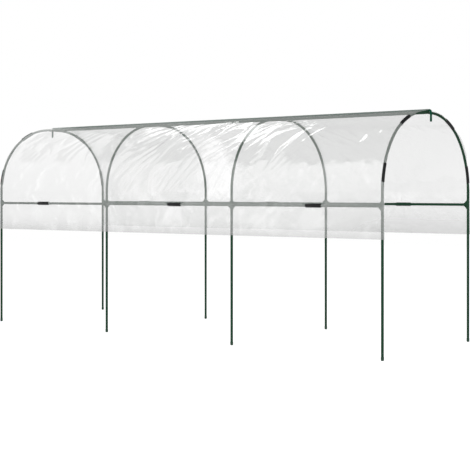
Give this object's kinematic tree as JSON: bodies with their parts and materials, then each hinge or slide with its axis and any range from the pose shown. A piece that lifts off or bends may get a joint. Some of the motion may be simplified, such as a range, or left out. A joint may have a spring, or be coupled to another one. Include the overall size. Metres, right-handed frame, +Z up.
{
  "type": "tunnel greenhouse",
  "caption": "Tunnel greenhouse: bent tube hoops on legs, side rails and a ridge carry a clear film cover that is open at both ends and held on by snap clips.",
  "frame": {"origin": "on the ground, at the middle of the footprint", "axes": "+X along the tunnel, +Y across it from front to back, +Z up"},
  "size_m": [3.0516, 1.0026, 1.3416],
  "materials": {
    "coated_steel": "dark bottle green plastic coating, satin",
    "rod_coating": "deeper green plastic coating, satin",
    "connector_plastic": "moulded dark green plastic, fine matt grain",
    "clip_plastic": "moulded black plastic, satin",
    "clear_film": "clear plastic film, glossy, softly creased"
  },
  "bodies": {
    "frame": {"leg_front_1": "coated_steel", "arch_front_1": "coated_steel", "side_connector_front_1": "connector_plastic", "leg_back_1": "coated_steel", "arch_back_1": "coated_steel", "side_connector_back_1": "connector_plastic", "leg_front_2": "coated_steel", "arch_front_2": "coated_steel", "side_connector_front_2": "connector_plastic", "leg_back_2": "coated_steel", "arch_back_2": "coated_steel", "side_connector_back_2": "connector_plastic", "leg_front_3": "coated_steel", "arch_front_3": "coated_steel", "side_connector_front_3": "connector_plastic", "leg_back_3": "coated_steel", "arch_back_3": "coated_steel", "side_connector_back_3": "connector_plastic", "leg_front_4": "coated_steel", "arch_front_4": "coated_steel", "side_connector_front_4": "connector_plastic", "leg_back_4": "coated_steel", "arch_back_4": "coated_steel", "side_connector_back_4": "connector_plastic", "crown_connector_1": "connector_plastic", "crown_connector_2": "connector_plastic", "crown_connector_3": "connector_plastic", "crown_connector_4": "connector_plastic", "rail_front_1": "coated_steel", "rail_back_1": "coated_steel", "rail_front_2": "coated_steel", "rail_back_2": "coated_steel", "rail_front_3": "coated_steel", "rail_back_3": "coated_steel", "ridge_tube_1": "coated_steel", "ridge_tube_2": "coated_steel", "ridge_tube_3": "coated_steel", "ridge_rod_left": "rod_coating", "ridge_rod_middle": "rod_coating", "ridge_rod_right": "rod_coating", "film_cover": "clear_film"},
    "rail_clip_front_1": {"rail_clip_front_1": "clip_plastic"},
    "rail_clip_front_2": {"rail_clip_front_2": "clip_plastic"},
    "rail_clip_front_3": {"rail_clip_front_3": "clip_plastic"},
    "rail_clip_back_1": {"rail_clip_back_1": "clip_plastic"},
    "rail_clip_back_2": {"rail_clip_back_2": "clip_plastic"},
    "rail_clip_back_3": {"rail_clip_back_3": "clip_plastic"},
    "hoop_clip_left_front_low": {"hoop_clip_left_front_low": "clip_plastic"},
    "hoop_clip_left_front_high": {"hoop_clip_left_front_high": "clip_plastic"},
    "hoop_clip_left_back_low": {"hoop_clip_left_back_low": "clip_plastic"},
    "hoop_clip_left_back_high": {"hoop_clip_left_back_high": "clip_plastic"},
    "hoop_clip_right_front_low": {"hoop_clip_right_front_low": "clip_plastic"},
    "hoop_clip_right_front_high": {"hoop_clip_right_front_high": "clip_plastic"},
    "hoop_clip_right_back_low": {"hoop_clip_right_back_low": "clip_plastic"},
    "hoop_clip_right_back_high": {"hoop_clip_right_back_high": "clip_plastic"}
  },
  "joints": [
    {"name": "rail_clip_front_1_pull", "type": "slide", "parent": "frame", "child": "rail_clip_front_1", "axis": [0, -1, 0], "range_m": [0, 0.04]},
    {"name": "rail_clip_front_2_pull", "type": "slide", "parent": "frame", "child": "rail_clip_front_2", "axis": [0, -1, 0], "range_m": [0, 0.04]},
    {"name": "rail_clip_front_3_pull", "type": "slide", "parent": "frame", "child": "rail_clip_front_3", "axis": [0, -1, 0], "range_m": [0, 0.04]},
    {"name": "rail_clip_back_1_pull", "type": "slide", "parent": "frame", "child": "rail_clip_back_1", "axis": [0, 1, 0], "range_m": [0, 0.04]},
    {"name": "rail_clip_back_2_pull", "type": "slide", "parent": "frame", "child": "rail_clip_back_2", "axis": [0, 1, 0], "range_m": [0, 0.04]},
    {"name": "rail_clip_back_3_pull", "type": "slide", "parent": "frame", "child": "rail_clip_back_3", "axis": [0, 1, 0], "range_m": [0, 0.04]},
    {"name": "hoop_clip_left_front_low_pull", "type": "slide", "parent": "frame", "child": "hoop_clip_left_front_low", "axis": [-1, 0, 0], "range_m": [0, 0.04]},
    {"name": "hoop_clip_left_front_high_pull", "type": "slide", "parent": "frame", "child": "hoop_clip_left_front_high", "axis": [-1, 0, 0], "range_m": [0, 0.04]},
    {"name": "hoop_clip_left_back_low_pull", "type": "slide", "parent": "frame", "child": "hoop_clip_left_back_low", "axis": [-1, 0, 0], "range_m": [0, 0.04]},
    {"name": "hoop_clip_left_back_high_pull", "type": "slide", "parent": "frame", "child": "hoop_clip_left_back_high", "axis": [-1, 0, 0], "range_m": [0, 0.04]},
    {"name": "hoop_clip_right_front_low_pull", "type": "slide", "parent": "frame", "child": "hoop_clip_right_front_low", "axis": [1, 0, 0], "range_m": [0, 0.04]},
    {"name": "hoop_clip_right_front_high_pull", "type": "slide", "parent": "frame", "child": "hoop_clip_right_front_high", "axis": [1, 0, 0], "range_m": [0, 0.04]},
    {"name": "hoop_clip_right_back_low_pull", "type": "slide", "parent": "frame", "child": "hoop_clip_right_back_low", "axis": [1, 0, 0], "range_m": [0, 0.04]},
    {"name": "hoop_clip_right_back_high_pull", "type": "slide", "parent": "frame", "child": "hoop_clip_right_back_high", "axis": [1, 0, 0], "range_m": [0, 0.04]}
  ]
}
